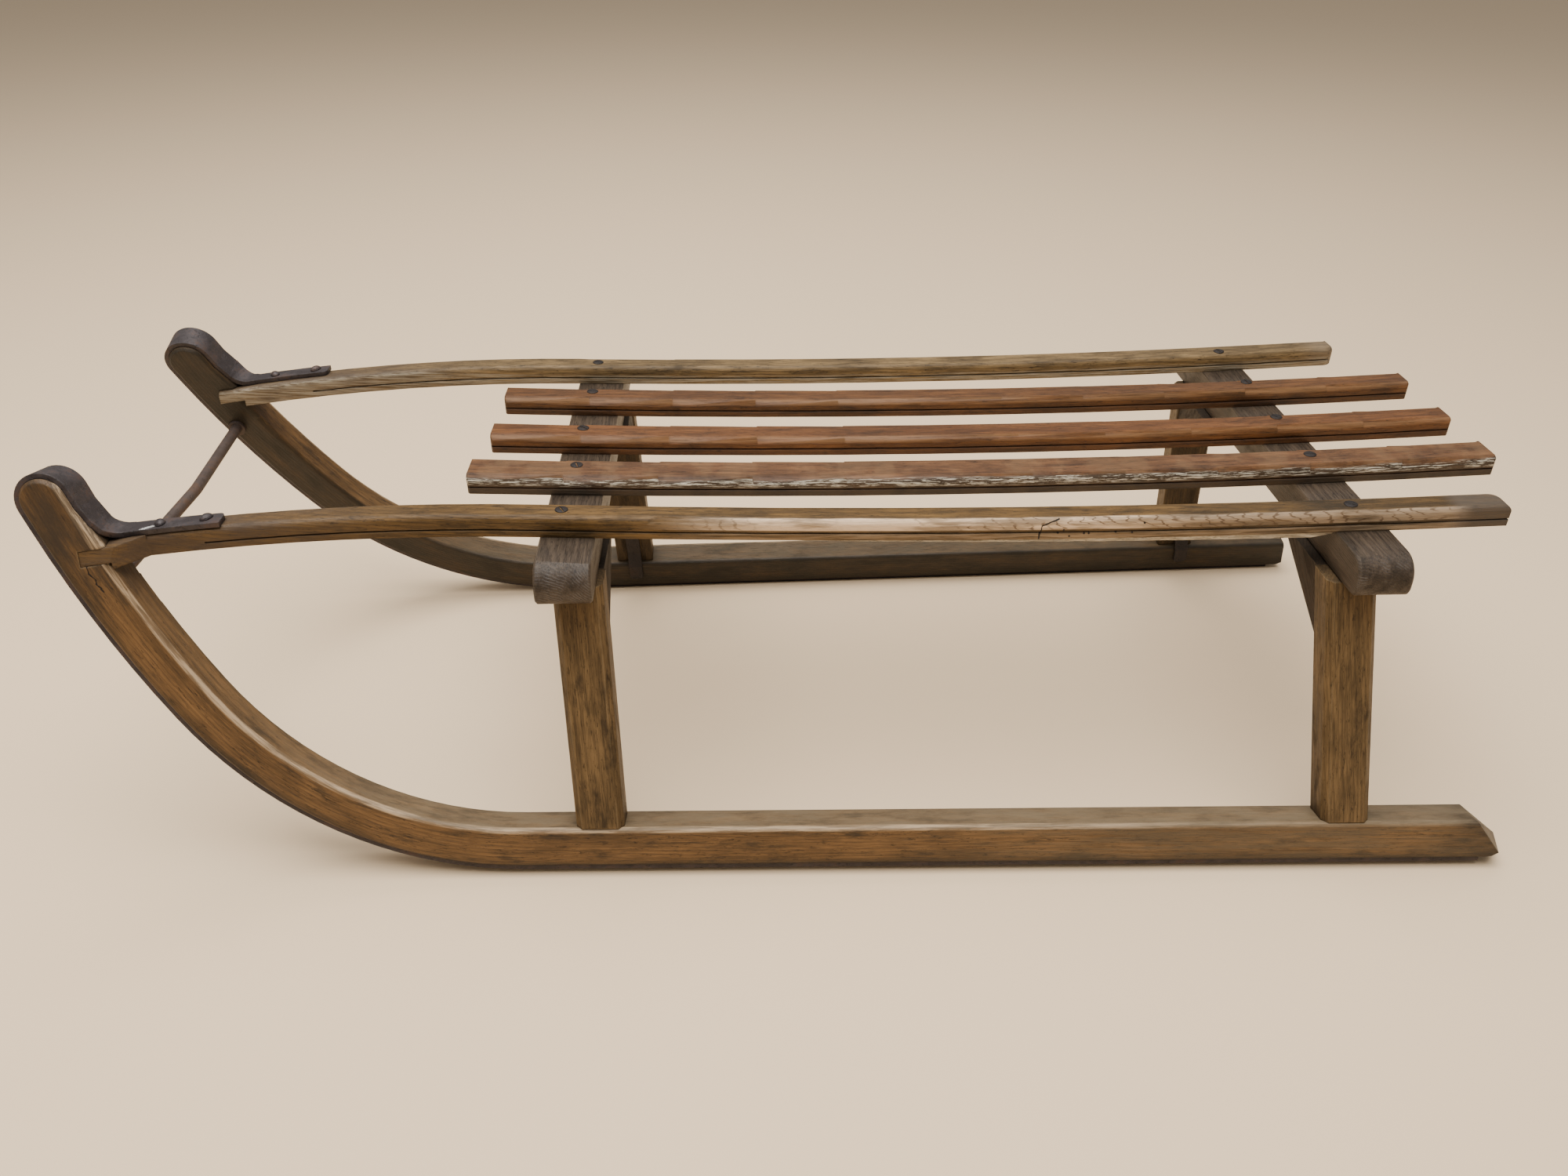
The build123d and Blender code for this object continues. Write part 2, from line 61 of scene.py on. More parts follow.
def reckon(tree, how, *values, clamp=False):
    return add_node(tree, "Math", dict(enumerate(values)), operation=how, use_clamp=clamp).outputs[0]


def times(tree, product, *others):
    for other in others:
        product = reckon(tree, "MULTIPLY", product, other)
    return product


def reckon_vector(tree, how, *values):
    results = add_node(tree, "VectorMath", dict(enumerate(values)), operation=how).outputs
    return results["Value"] if how in ("LENGTH", "DISTANCE", "DOT_PRODUCT") else results["Vector"]


def join_axes(tree, along, across, through):
    return add_node(tree, "CombineXYZ", {0: along, 1: across, 2: through}).outputs[0]


def split_axes(tree, place):
    return tuple(add_node(tree, "SeparateXYZ", {0: place}).outputs)


def ease(tree, value, start, end, low=0.0, high=1.0):
    wires = {0: value, 1: start, 2: end, 3: low, 4: high}
    return add_node(tree, "MapRange", wires, interpolation_type="SMOOTHSTEP").outputs[0]


def clouds(tree, place, stretch, detail=3.0, rough=0.55):
    scaled = reckon_vector(tree, "MULTIPLY", place, stretch)
    wires = {"Vector": scaled, "Scale": 1.0, "Detail": detail, "Roughness": rough}
    return add_node(tree, "TexNoise", wires).outputs[0]


def stain(tree, amount, below, above):
    # One colour over another; each is a socket or three numbers.
    wires = {0: amount}
    for socket, paint in ((6, below), (7, above)):
        wires[socket] = paint if isinstance(paint, bpy.types.NodeSocket) else (*paint, 1)
    return add_node(tree, "Mix", wires, data_type="RGBA").outputs[2]


def lay_over(tree, amount, paint):
    # A further stain over the base colour that the finish has so far.
    shade = tree.nodes["Principled BSDF"].inputs["Base Color"]
    tree.links.new(stain(tree, amount, shade.links[0].from_socket, paint), shade)


def new_finish(name):
    finish = bpy.data.materials.new(name)
    finish.use_nodes = True
    return finish, finish.node_tree


def dress(node, finish):
    piece = bpy.data.objects[node]
    if not piece.material_slots:
        piece.data.materials.append(finish)
    for place in piece.material_slots:
        place.material = finish


def measured(tree, mirrored=False):
    # Place in millimetres; the right side reads as the left side's mirror image.
    inside = add_node(tree, "TexCoord").outputs["Object"]
    return reckon_vector(tree, "MULTIPLY", inside, (1000, -1000 if mirrored else 1000, 1000))


def reach(tree, place, way, start=(0, 0, 0)):
    # How far a place lies along one direction from a start.
    moved = reckon_vector(tree, "SUBTRACT", place, tuple(start))
    return reckon_vector(tree, "DOT_PRODUCT", moved, tuple(way))


def openness(tree, distance):
    return add_node(tree, "AmbientOcclusion", {"Distance": distance}, samples=4).outputs["AO"]


def true_normal(tree):
    return add_node(tree, "NewGeometry").outputs["True Normal"]


def round_arrises(tree, radius):
    # A normal that runs smoothly over the arrises, and how near it is to the face's own.
    eased = add_node(tree, "Bevel", {"Radius": radius}, samples=4).outputs[0]
    return eased, reckon_vector(tree, "DOT_PRODUCT", eased, true_normal(tree))


def timber(tree, grain, pale, dark, dirt_and_shade, worn, pith=(-60.0, -45.0), tilt=(0.015, 0.03), pitch=2.6,
           seed=0, gloss=0.5, grime_and_shade=0.6, rub=0.6, rings=0.6, varnish=0.0, low=0.03):
    # Old oiled ash: year rings round a pith outside the piece, streaks, fibre
    # and pores along the grain, grime and painted shade in corners, and rubbed arrises.
    shader = tree.nodes["Principled BSDF"]
    place = reckon_vector(tree, "ADD", grain, (seed * 173.0, seed * 31.0, seed * 57.0))
    along, side_way, up_way = split_axes(tree, grain)
    across = reckon(tree, "MULTIPLY_ADD", along, tilt[0], reckon(tree, "SUBTRACT", side_way, pith[0]))
    through = reckon(tree, "MULTIPLY_ADD", along, tilt[1], reckon(tree, "SUBTRACT", up_way, pith[1]))
    from_pith = reckon_vector(tree, "LENGTH", join_axes(tree, 0.0, across, through))
    bow = reckon(tree, "MULTIPLY_ADD", clouds(tree, place, (0.004, 0.02, 0.02), 2.0), 16.0, from_pith)
    sway = reckon(tree, "MULTIPLY_ADD", clouds(tree, place, (0.018, 0.16, 0.16), 3.0), 2.4, bow)
    ring = reckon(tree, "FRACT", reckon(tree, "DIVIDE", sway, pitch))
    late = times(tree, ease(tree, ring, 0.25, 0.85), ease(tree, ring, 1.0, 0.92))
    streak = clouds(tree, place, (0.012, 0.22, 0.22), 5.0, 0.65)
    fibre = clouds(tree, place, (0.05, 0.9, 0.9), 4.0, 0.7)
    pores = ease(tree, clouds(tree, place, (0.06, 2.2, 2.2), 2.0), 0.58, 0.70)
    smudge = clouds(tree, place, (0.022, 0.07, 0.07), 5.0, 0.68)
    cloud = clouds(tree, place, (0.016, 0.045, 0.045), 4.0, 0.6)
    flecks = ease(tree, clouds(tree, place, (0.11, 0.5, 0.5), 5.0, 0.8), 0.56, 0.64)
    wood = stain(tree, times(tree, late, ease(tree, cloud, 0.3, 0.62, 0.45, 1.0), rings), pale, dark)
    wood = stain(tree, times(tree, ease(tree, streak, 0.47, 0.66), 0.45), wood, dark)
    wood = stain(tree, times(tree, pores, 0.6), wood, tuple(0.35 * part for part in dark))
    clouded = ease(tree, cloud, 0.35, 0.65, -0.22, 0.24)
    lift = reckon(tree, "ADD", ease(tree, fibre, 0.3, 0.7, 0.7, 1.16), clouded)
    wood = add_node(tree, "HueSaturation", {"Value": lift, "Color": wood}).outputs[0]
    # The ambient occlusion darkens corners and the places between parts: painted shade. The smudge noise
    # lays real grime over it.
    open_air = openness(tree, low)
    grime_and_corner_shade = reckon(tree, "ADD", ease(tree, open_air, 0.85, 0.35), ease(tree, smudge, 0.5, 0.7), clamp=True)
    wood = stain(tree, times(tree, grime_and_corner_shade, grime_and_shade), wood, dirt_and_shade)
    wood = stain(tree, times(tree, flecks, 0.75), wood, tuple(0.3 * part for part in dark))
    eased, flatness = round_arrises(tree, 0.0022)
    rubbed = ease(tree, clouds(tree, place, (0.03, 0.09, 0.09), 4.0), 0.38, 0.6)
    arris = times(tree, ease(tree, flatness, 0.985, 0.86), ease(tree, open_air, 0.55, 0.85), rubbed)
    wood = stain(tree, times(tree, arris, rub), wood, worn)
    tree.links.new(wood, shader.inputs["Base Color"])
    rough = reckon(tree, "MULTIPLY_ADD", fibre, 0.16, gloss - 0.08)
    rough = reckon(tree, "ADD", rough, times(tree, grime_and_corner_shade, 0.22))
    tree.links.new(rough, shader.inputs["Roughness"])
    shader.inputs["Specular IOR Level"].default_value = 0.2
    if varnish:
        shader.inputs["Coat Weight"].default_value = varnish
        shader.inputs["Coat Roughness"].default_value = 0.34
    shape = reckon(tree, "MULTIPLY_ADD", late, 0.3, times(tree, fibre, 0.8))
    shape = reckon(tree, "MULTIPLY_ADD", pores, -0.6, shape)
    shape = reckon(tree, "MULTIPLY_ADD", smudge, 1.2, shape)
    wires = {"Strength": 0.55, "Distance": 0.0007, "Height": shape, "Normal": eased}
    tree.links.new(add_node(tree, "Bump", wires).outputs[0], shader.inputs["Normal"])
    return streak, smudge, late


def round_hub(tree, s, t, hub, radius):
    # The turn made round a hub, the way gone by the stave's middle and the rise over the sole.
    ahead, below = reckon(tree, "SUBTRACT", hub[0], s), reckon(tree, "SUBTRACT", hub[1], t)
    turned = reckon(tree, "ARCTAN2", ahead, below)
    out = reckon_vector(tree, "LENGTH", join_axes(tree, ahead, below, 0.0))
    past = times(tree, turned, radius - runner_depth / 2)
    return turned, past, reckon(tree, "SUBTRACT", iron_thick + radius, out)


def bend_grain(tree, place):
    # Along the sole, then round the hub of the bend, then round the far hub of
    # the horn's sweep.
    s, t = reach(tree, place, side_along, side_origin), reach(tree, place, side_up, side_origin)
    deep = reach(tree, place, -side_out, side_origin)
    hub = (bend_start, iron_thick + bend_radius)
    turn_end = (hub[0] - bend_radius * sin(bend_angle), hub[1] - bend_radius * cos(bend_angle))
    far_hub = (turn_end[0] + sweep_radius * sin(bend_angle), turn_end[1] + sweep_radius * cos(bend_angle))
    turned, past, rise = round_hub(tree, s, t, hub, bend_radius)
    past_far, rise_far = round_hub(tree, s, t, far_hub, sweep_radius)[1:]
    near = join_axes(tree, reckon(tree, "SUBTRACT", bend_start, past), rise, deep)
    middle = runner_depth / 2
    shift = bend_start - (bend_radius - middle) * bend_angle + (sweep_radius - middle) * bend_angle
    far = join_axes(tree, reckon(tree, "SUBTRACT", shift, past_far), rise_far, deep)
    bent = reckon(tree, "LESS_THAN", s, bend_start)
    swept = times(tree, reckon(tree, "GREATER_THAN", turned, bend_angle), bent)
    grain = join_axes(tree, s, t, deep)
    grain = add_node(tree, "Mix", {0: bent, 4: grain, 5: near}, data_type="VECTOR").outputs[1]
    return add_node(tree, "Mix", {0: swept, 4: grain, 5: far}, data_type="VECTOR").outputs[1], s, t


def wander(tree, flat, size, swing):
    # A sway that keeps a crack from running dead straight.
    sway = clouds(tree, flat, (size, size, size), 3.0)
    return join_axes(tree, reckon(tree, "MULTIPLY_ADD", sway, swing, -swing / 2), 0.0, 0.0)


def crack(tree, flat, start, end, wide, sway):
    # A dark line between two places in a flat frame.
    run = Vector(end) - Vector(start)
    way = (*run.normalized(), 0)
    off = reckon_vector(tree, "ADD", reckon_vector(tree, "SUBTRACT", flat, (*start, 0)), sway)
    past = reckon_vector(tree, "DOT_PRODUCT", off, way)
    past = reckon(tree, "MINIMUM", reckon(tree, "MAXIMUM", past, 0.0), run.length)
    nearest = add_node(tree, "VectorMath", {0: way, "Scale": past}, operation="SCALE").outputs[0]
    return ease(tree, reckon_vector(tree, "DISTANCE", off, nearest), wide, wide * 0.35)


runner_pale = (0.165, 0.086, 0.031)
runner_dark = (0.046, 0.026, 0.011)
runner_dirt_and_shade = (0.024, 0.019, 0.012)
runner_worn = (0.3, 0.21, 0.11)
runner_faded = (0.16, 0.12, 0.072)
deck_rubbed = (0.215, 0.16, 0.095)
deck_dim = (0.075, 0.058, 0.032)
deck_wear_and_highlight = (0.5, 0.36, 0.22)
hand_grime = (0.045, 0.03, 0.018)
crack_black = (0.008, 0.006, 0.005)
# Places along the runner where a change of tone starts and where it is full.
faded_run, horn_run, bare_run, tail_run = (20.0, 260.0), (-470.0, -270.0), (330.0, 150.0), (470.0, 545.0)
handled_rise, horn_crack_wide = (190.0, 285.0), 0.85
horn_cracks =(((-514.9, 258.4), (-500.0, 264.3)), ((-514.2, 257.5), (-511.3, 246.9)),
               ((-511.3, 246.9), (-504.5, 233.5)))
for side, seed in (("left", 1), ("right", 4)):
    finish, tree = new_finish("runner_ash_" + side)
    grain, s, t = bend_grain(tree, measured(tree, side == "right"))
    streak, smudge = timber(
        tree, grain, runner_pale, runner_dark, runner_dirt_and_shade, runner_worn, seed=seed, pith=(-70, 38),
        pitch=3.3, grime_and_shade=0.72, rub=0.85, rings=0.34, gloss=0.46, varnish=0.14)[:2]
    rise, deep = split_axes(tree, grain)[1:]
    if side == "left":
        faded = times(tree, ease(tree, s, *faded_run), ease(tree, streak, 0.35, 0.6, 0.1, 0.42))
        lay_over(tree, faded, runner_faded)
    topside = times(tree, ease(tree, rise, deck - 3.0, deck - 0.3),
                    ease(tree, smudge, 0.7, 0.35, 0.35, 0.75), ease(tree, s, *horn_run, 0.15, 1.0))
    lay_over(tree, topside, deck_rubbed if side == "left" else deck_dim)
    handled = times(tree, ease(tree, t, *handled_rise), ease(tree, smudge, 0.35, 0.6, 0.25, 0.75))
    lay_over(tree, handled, hand_grime)
    # Along the top of the deck's outer round: pale rubbed wood with a painted highlight over it.
    torn = ease(tree, clouds(tree, grain, (0.016, 0.3, 0.3), 5.0, 0.7), 0.42, 0.6, 0.15, 0.85)
    shoulder = times(tree, ease(tree, rise, deck - 4.0, deck - 2.5), ease(tree, deep, 5.0, 3.0), torn,
                     ease(tree, s, *bare_run, 0.25, 1.0))
    lay_over(tree, shoulder, deck_wear_and_highlight)
    sole = times(tree, ease(tree, rise, iron_thick + 10.0, iron_thick),
                 ease(tree, streak, 0.3, 0.6, 0.25, 0.7))
    lay_over(tree, sole, runner_dirt_and_shade)
    # The inner face, mottled darker: painted shade.
    inner_face_shade = times(tree, ease(tree, deep, runner_width - 5.0, runner_width - 1.0),
                  ease(tree, smudge, 0.2, 0.6, 0.65, 0.95))
    lay_over(tree, inner_face_shade, runner_dirt_and_shade)
    tail = times(tree, ease(tree, s, *tail_run), ease(tree, smudge, 0.3, 0.6, 0.3, 0.8))
    lay_over(tree, tail, runner_dirt_and_shade)
    if side == "left":
        flat = join_axes(tree, s, t, 0.0)
        sway = wander(tree, flat, 0.16, 6.0)
        for start, end in horn_cracks:
            lay_over(tree, crack(tree, flat, start, end, horn_crack_wide, sway), crack_black)
    dress("runner_" + side, finish)

# Iron shoes and straps.
# A forged flat bar is nailed under each runner, goes round the horn and lies on
# the rail. It is dark and purple-brown with rust, and rubbed bright below.
iron_dark = (0.036, 0.027, 0.027)
iron_scale = (0.06, 0.05, 0.052)
iron_rust = (0.085, 0.042, 0.024)
iron_pit = (0.014, 0.01, 0.009)
iron_grime_and_shade = (0.012, 0.009, 0.008)
iron_rubbed = (0.13, 0.115, 0.11)
smear_white = (0.5, 0.48, 0.45)


def forged(name, mirrored=False, rust=0.55, gloss=0.5):
    finish, tree = new_finish(name)
    shader = tree.nodes["Principled BSDF"]
    place = measured(tree, mirrored)
    mottle = clouds(tree, place, (0.05, 0.05, 0.05), 5.0, 0.65)
    grit = clouds(tree, place, (0.6, 0.6, 0.6), 4.0, 0.6)
    pits = ease(tree, clouds(tree, place, (0.28, 0.28, 0.28), 3.0, 0.7), 0.56, 0.68)
    rusted = ease(tree, reckon(tree, "MULTIPLY_ADD", grit, 0.35, mottle), 0.66, 0.84)
    open_air = openness(tree, 0.012)
    metal = stain(tree, ease(tree, mottle, 0.4, 0.62), iron_dark, iron_scale)
    metal = stain(tree, times(tree, rusted, rust), metal, iron_rust)
    metal = stain(tree, times(tree, pits, 0.5), metal, iron_pit)
    # Darker where the ambient occlusion finds corners and hollows: grime, and painted shade.
    metal = stain(tree, ease(tree, open_air, 0.75, 0.3, 0.0, 0.8), metal, iron_grime_and_shade)
    eased, flatness = round_arrises(tree, 0.0014)
    arris = times(tree, ease(tree, flatness, 0.985, 0.85), ease(tree, grit, 0.35, 0.65),
                  ease(tree, open_air, 0.5, 0.9, 0.0, 0.55))
    metal = stain(tree, arris, metal, iron_rubbed)
    tree.links.new(metal, shader.inputs["Base Color"])
    shader.inputs["Metallic"].default_value = 0.35
    tree.links.new(reckon(tree, "MULTIPLY_ADD", mottle, 0.3, gloss - 0.1), shader.inputs["Roughness"])
    shape = reckon(tree, "MULTIPLY_ADD", pits, -0.8, reckon(tree, "MULTIPLY_ADD", grit, 0.5, mottle))
    wires = {"Strength": 0.6, "Distance": 0.0006, "Height": shape, "Normal": eased}
    tree.links.new(add_node(tree, "Bump", wires).outputs[0], shader.inputs["Normal"])
    return finish, tree, place, grit


def paint_smear(tree, place, centre, way, size, grit):
    # A torn smear of old white paint.
    side_way = Vector(way).cross(Vector((0, 0, 1)))
    long_way = reckon(tree, "DIVIDE", reach(tree, place, way, centre), size[0])
    short_way = reckon(tree, "DIVIDE", reach(tree, place, side_way, centre), size[1])
    off = reckon_vector(tree, "LENGTH", join_axes(tree, long_way, short_way, 0.0))
    lay_over(tree, ease(tree, reckon(tree, "MULTIPLY_ADD", grit, 1.5, off), 1.55, 1.35), smear_white)


for side in ("left", "right"):
    finish, tree, place, grit = forged("iron_bar_" + side, side == "right")
    if side == "left":
        paint_smear(tree, place, (-470.0, -141.0, 272.0), (0.96, 0.28, 0), (8.0, 2.2), grit)
    facing_down = ease(tree, split_axes(tree, true_normal(tree))[2], -0.8, -0.95)
    lay_over(tree, times(tree, facing_down, ease(tree, grit, 0.3, 0.6, 0.3, 0.9)), iron_rubbed)
    dress("iron_" + side, finish)

# Trestles.
# Two ash bolsters lie across four ash legs; each leg is braced by a knee and
# held down by an iron strip. The bolsters' bull-nosed ends show their rings,
# greyed with a painted sheen. The knees and the legs' inner faces are painted
# darker as shade.
bolster_pale = (0.066, 0.046, 0.03)
bolster_dark = (0.022, 0.015, 0.011)
bolster_worn = (0.17, 0.13, 0.09)
bolster_pale_rings_and_sheen = (0.16, 0.14, 0.125)
leg_pale = (0.15, 0.092, 0.039)
leg_dark = (0.048, 0.029, 0.013)
leg_worn = (0.3, 0.21, 0.11)
# Knee tones: the legs' ash painted darker as shade.
knee_pale_shaded = (0.035, 0.02, 0.01)
knee_dark_shaded = (0.013, 0.008, 0.005)
trestle_dirt_and_shade = (0.018, 0.013, 0.008)
strip_dark = (0.013, 0.01, 0.008)
bolster_height, leg_rise, leg_inner_face = 249.0, 197.9, -26.0
knee_way, knee_across = (0, 0.74, 0.67), (0, -0.67, 0.74)
# End, the bolster's place along the sled, the legs' rake over their rise, and grain seed.
trestles = (("front", -172.0, -6.8, 2), ("rear", 405.5, -24.5, 5))
for end, bolster_middle, rake, seed in trestles:
    finish, tree = new_finish("bolster_ash_" + end)
    x, y, z = split_axes(tree, measured(tree))
    grain = join_axes(tree, y, reckon(tree, "SUBTRACT", x, bolster_middle),
                      reckon(tree, "SUBTRACT", z, bolster_height))
    smudge, late = timber(
        tree, grain, bolster_pale, bolster_dark, trestle_dirt_and_shade, bolster_worn, seed=seed, pith=(-26, -52),
        tilt=(0.01, 0.01), pitch=1.7, grime_and_shade=0.5, rub=0.4, rings=0.45, gloss=0.45, varnish=0.12)[1:]
    # Pale year rings on the end faces, greyed with a painted sheen.
    end_face = ease(tree, reckon(tree, "ABSOLUTE", split_axes(tree, true_normal(tree))[1]), 0.45, 0.8)
    lay_over(tree, times(tree, end_face, late, ease(tree, smudge, 0.6, 0.4), 0.5), bolster_pale_rings_and_sheen)
    dress("bolster_" + end, finish)
    lean = Vector((rake, leg_rise)).normalized()
    leg_way = side_along * lean.x + side_up * lean.y
    leg_across = side_along * lean.y - side_up * lean.x
    for side in ("left", "right"):
        mirrored = side == "right"
        finish, tree = new_finish(f"leg_ash_{end}_{side}")
        place = measured(tree, mirrored)
        grain = join_axes(tree, reach(tree, place, leg_way, side_origin), reach(tree, place, leg_across),
                          reach(tree, place, side_out))
        timber(tree, grain, leg_pale, leg_dark, trestle_dirt_and_shade, leg_worn, seed=seed + 7 * mirrored,
               pith=(-58, -75), tilt=(0.03, -0.02), pitch=2.8, grime_and_shade=0.7, rub=0.8, rings=0.38, low=0.045)
        # The legs' inner faces are painted darker: painted shade.
        outward = reach(tree, place, side_out, side_origin)
        lay_over(tree, ease(tree, outward, leg_inner_face + 3.0, leg_inner_face, 0.0, 0.6), trestle_dirt_and_shade)
        dress(f"leg_{end}_{side}", finish)
        # The knees' colours are painted much darker than the legs' ash: painted shade.
        finish, tree = new_finish(f"knee_ash_shaded_{end}_{side}")
        place = measured(tree, mirrored)
        grain = join_axes(tree, reach(tree, place, knee_way), reach(tree, place, knee_across),
                          reach(tree, place, (1, 0, 0)))
        timber(tree, grain, knee_pale_shaded, knee_dark_shaded, trestle_dirt_and_shade, bolster_worn, seed=seed + 3 + 7 * mirrored,
               pith=(-40, -50), grime_and_shade=0.7, rub=0.4, gloss=0.6, low=0.05)
        dress(f"knee_{end}_{side}", finish)
        finish, tree = forged(f"foot_iron_{end}_{side}", mirrored, rust=0.8, gloss=0.6)[:2]
        lay_over(tree, 0.6, strip_dark)
        dress(f"foot_strip_{end}_{side}", finish)

# Rails.
# The outer slats, of ash, run on forward into slots in the horns. They are
# olive-brown and waxed; the left one's upper arris is worn to pale bare wood.
seat_low, seat_mid, seat_radius = 259.0, 116.75, 9264.06
rail_toe, rail_spread, rail_thick = radians(1.07), 142.9, 16.5
rail_pale = (0.138, 0.074, 0.021)
far_rail_pale = (0.2, 0.128, 0.055)
rail_dark = (0.04, 0.022, 0.007)
rail_worn = (0.27, 0.18, 0.095)
rail_grime_and_shade = (0.021, 0.015, 0.008)
rail_ahead = (0.075, 0.05, 0.033)
rail_bare = (0.8, 0.58, 0.38)
rail_track = (0.09, 0.05, 0.025)
rail_lip = (0.36, 0.25, 0.15)
rail_tail = (0.1, 0.078, 0.06)
far_rail_tail = (0.16, 0.13, 0.1)
far_rail_faded_and_highlit = (0.36, 0.3, 0.21)
rail_crack_black = (0.01, 0.007, 0.006)
hole_black = (0.008, 0.005, 0.004)
# Places along the rail where a change of tone starts and where it is full.
ahead_run, aged_run = (-250.0, -420.0), (180.0, 400.0)
tail_start, far_tail_start = (462.0, 476.0), (470.0, 500.0)
band_start, band_end, dull_run = (-130.0, -10.0), (484.0, 470.0), (180.0, 300.0)
track_step, clear_start, clear_end = 5.5, (-60.0, -30.0), (85.0, 65.0)
# Place along the rail and height over its underside.
rail_cracks = (((168.0, 0.0), (170.0, 11.0)), ((170.0, 11.0), (182.0, 15.5)))
worm_holes = ((182.0, 5.1), (186.0, 7.4), (190.5, 2.3), (201.0, 4.4), (204.5, 4.4), (224.0, 5.1),
              (236.0, 4.4), (244.0, 12.1))
rail_crack_wide, hole_size = 0.75, (1.0, 0.6)


def above_seat(tree, place):
    # The place along the sled, and the height over the underside of the slats.
    x, y, z = split_axes(tree, place)
    run = reckon(tree, "SUBTRACT", x, seat_mid)
    curve = reckon(tree, "MULTIPLY_ADD", times(tree, run, run), 1 / (2 * seat_radius), seat_low)
    return x, reckon(tree, "SUBTRACT", z, curve)


for side, seed in (("left", 3), ("right", 6)):
    finish, tree = new_finish("rail_ash_" + side)
    place = measured(tree, side == "right")
    along = reach(tree, place, (cos(rail_toe), -sin(rail_toe), 0))
    across = reach(tree, place, (-sin(rail_toe), -cos(rail_toe), 0), (0, -rail_spread, 0))
    x, height = above_seat(tree, place)
    grain = join_axes(tree, along, across, height)
    pale = rail_pale if side == "left" else far_rail_pale
    streak, smudge = timber(
        tree, grain, pale, rail_dark, rail_grime_and_shade, rail_worn, seed=seed, pith=(30, -48), tilt=(0.012, 0.02),
        pitch=2.8, grime_and_shade=0.6, rub=0.5, rings=0.42, varnish=0.1, low=0.02)[:2]
    handled = times(tree, ease(tree, x, *ahead_run), ease(tree, smudge, 0.3, 0.6, 0.3, 0.7))
    lay_over(tree, handled, rail_ahead)
    if side == "left":
        aged = times(tree, ease(tree, x, *aged_run), ease(tree, smudge, 0.35, 0.6, 0.3, 0.65))
        lay_over(tree, aged, rail_grime_and_shade)
        edge = clouds(tree, grain, (0.02, 0.1, 0.1), 4.0, 0.6)
        ragged = reckon(tree, "MULTIPLY_ADD", edge, 4.0, reckon(tree, "SUBTRACT", across, 2.0))
        reached = times(tree, ease(tree, x, *band_start), ease(tree, x, *band_end))
        band = times(tree, ease(tree, ragged, 7.0, 8.6), ease(tree, height, 7.2, 8.4), reached)
        bare = ease(tree, clouds(tree, grain, (0.014, 0.12, 0.12), 4.0, 0.65), 0.4, 0.56)
        dulled = ease(tree, x, *dull_run, 1.0, 0.36)
        shown = times(tree, reckon(tree, "MULTIPLY_ADD", bare, 0.6, 0.4), dulled)
        lay_over(tree, times(tree, band, shown), rail_bare)
        drift = clouds(tree, grain, (0.02, 0.12, 0.12), 3.0, 0.6)
        arcs = reckon(tree, "MULTIPLY_ADD", drift, 45.0, reckon(tree, "MULTIPLY_ADD", height, 1.3, x))
        arcs = reckon(tree, "PINGPONG", arcs, track_step)
        patchy = ease(tree, clouds(tree, grain, (0.02, 0.12, 0.12), 3.0), 0.4, 0.52)
        clear = times(tree, ease(tree, x, *clear_start), ease(tree, x, *clear_end))
        thinned = reckon(tree, "MULTIPLY_ADD", clear, -0.9, 1.0)
        tracks = times(tree, ease(tree, arcs, 1.5, 0.5), patchy, thinned)
        lay_over(tree, times(tree, band, tracks, 0.75), rail_track)
        lip = times(tree, ease(tree, across, 8.5, 10.5), ease(tree, height, 6.8, 6.0), reached,
                    ease(tree, streak, 0.6, 0.4, 0.15, 0.7))
        lay_over(tree, lip, rail_lip)
        lay_over(tree, times(tree, ease(tree, x, *tail_start), 0.6), rail_tail)
        flat = join_axes(tree, x, height, 0.0)
        sway = wander(tree, flat, 0.2, 4.0)
        for start, end in rail_cracks:
            lay_over(tree, crack(tree, flat, start, end, rail_crack_wide, sway), rail_crack_black)
        for hole in worm_holes:
            pricked = ease(tree, reckon_vector(tree, "DISTANCE", flat, (*hole, 0)), *hole_size)
            lay_over(tree, times(tree, pricked, ease(tree, across, 8.0, 9.0)), hole_black)
    else:
        lay_over(tree, times(tree, ease(tree, x, *far_tail_start), 0.35), far_rail_tail)
        # A pale band on the inner face's upper part: faded wood with a painted highlight.
        torn = ease(tree, clouds(tree, grain, (0.02, 0.9, 0.9), 5.0, 0.7), 0.4, 0.6)
        faded = times(tree, ease(tree, across, -8.0, -10.5), ease(tree, height, 9.0, 7.0), torn)
        lay_over(tree, times(tree, faded, 0.7), far_rail_faded_and_highlit)
    dress("rail_" + side, finish)

# Seat slats.
# Three moulded ash slats are screwed to the bolsters. Their red-brown varnish
# shines, and flakes off to cream primer along the left one's outer arris.
slat_thick, quirk_height = 15.0, 5.0
slat_grime_and_shade = (0.026, 0.016, 0.01)
slat_figure = (0.27, 0.16, 0.075)
slat_lip = (0.04, 0.032, 0.022)
slat_shoulder = (0.05, 0.04, 0.028)
slat_primer = (0.62, 0.55, 0.43)
